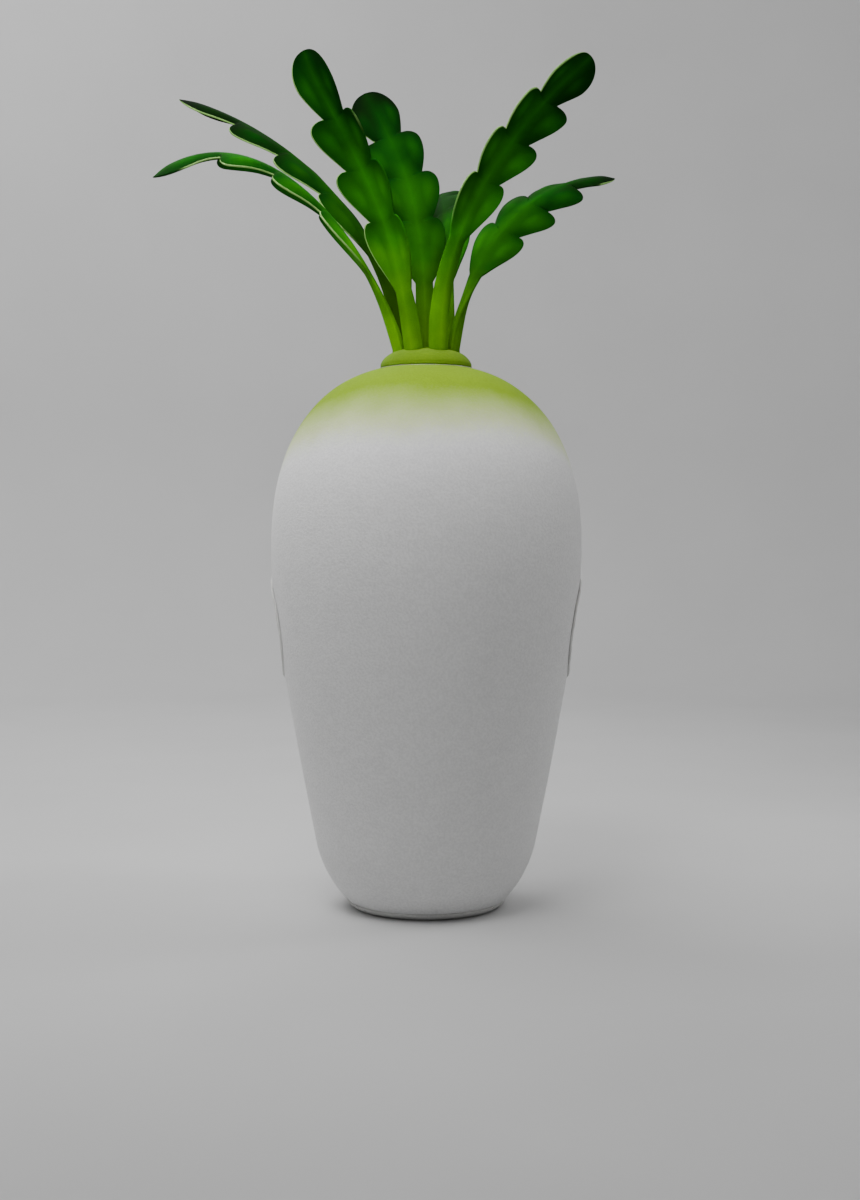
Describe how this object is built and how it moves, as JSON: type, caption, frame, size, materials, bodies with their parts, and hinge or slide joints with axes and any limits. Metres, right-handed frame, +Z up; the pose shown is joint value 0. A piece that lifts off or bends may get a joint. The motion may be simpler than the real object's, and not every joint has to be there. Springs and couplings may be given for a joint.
{
  "type": "daikon radish costume",
  "caption": "Hollow padded foam radish body with a fleece cover, crown collar and lobed foam leaves, open below, with side armholes, a back zip and inside shoulder straps",
  "frame": {"origin": "centre of the bounding box in plan, on the floor that the rim stands on", "axes": "+Z up the body's axis towards the leaves, -Y the front, +Y the side with the zip, +X the radish's own left"},
  "size_m": [1.0395, 0.7577, 1.9078],
  "materials": {
    "foam": "open-cell upholstery foam, unpainted",
    "fleece": "white short-pile fleece, sprayed yellow-green over the shoulder",
    "collar": "yellow-green fleece over foam",
    "leaf": "sprayed foam, yellow-green stalks to dark green tips",
    "zip": "woven white zip tape",
    "slider": "plain metal",
    "webbing": "black woven webbing"
  },
  "bodies": {
    "root": {"foam_shell": "foam", "fleece_cover": "fleece", "crown_collar": "collar", "leaf_1": "leaf", "leaf_2": "leaf", "leaf_3": "leaf", "leaf_4": "leaf", "leaf_5": "leaf", "leaf_6": "leaf", "leaf_7": "leaf", "zip_tape": "zip", "zip_slider": "slider", "strap_left": "webbing", "strap_right": "webbing"}
  },
  "joints": []
}
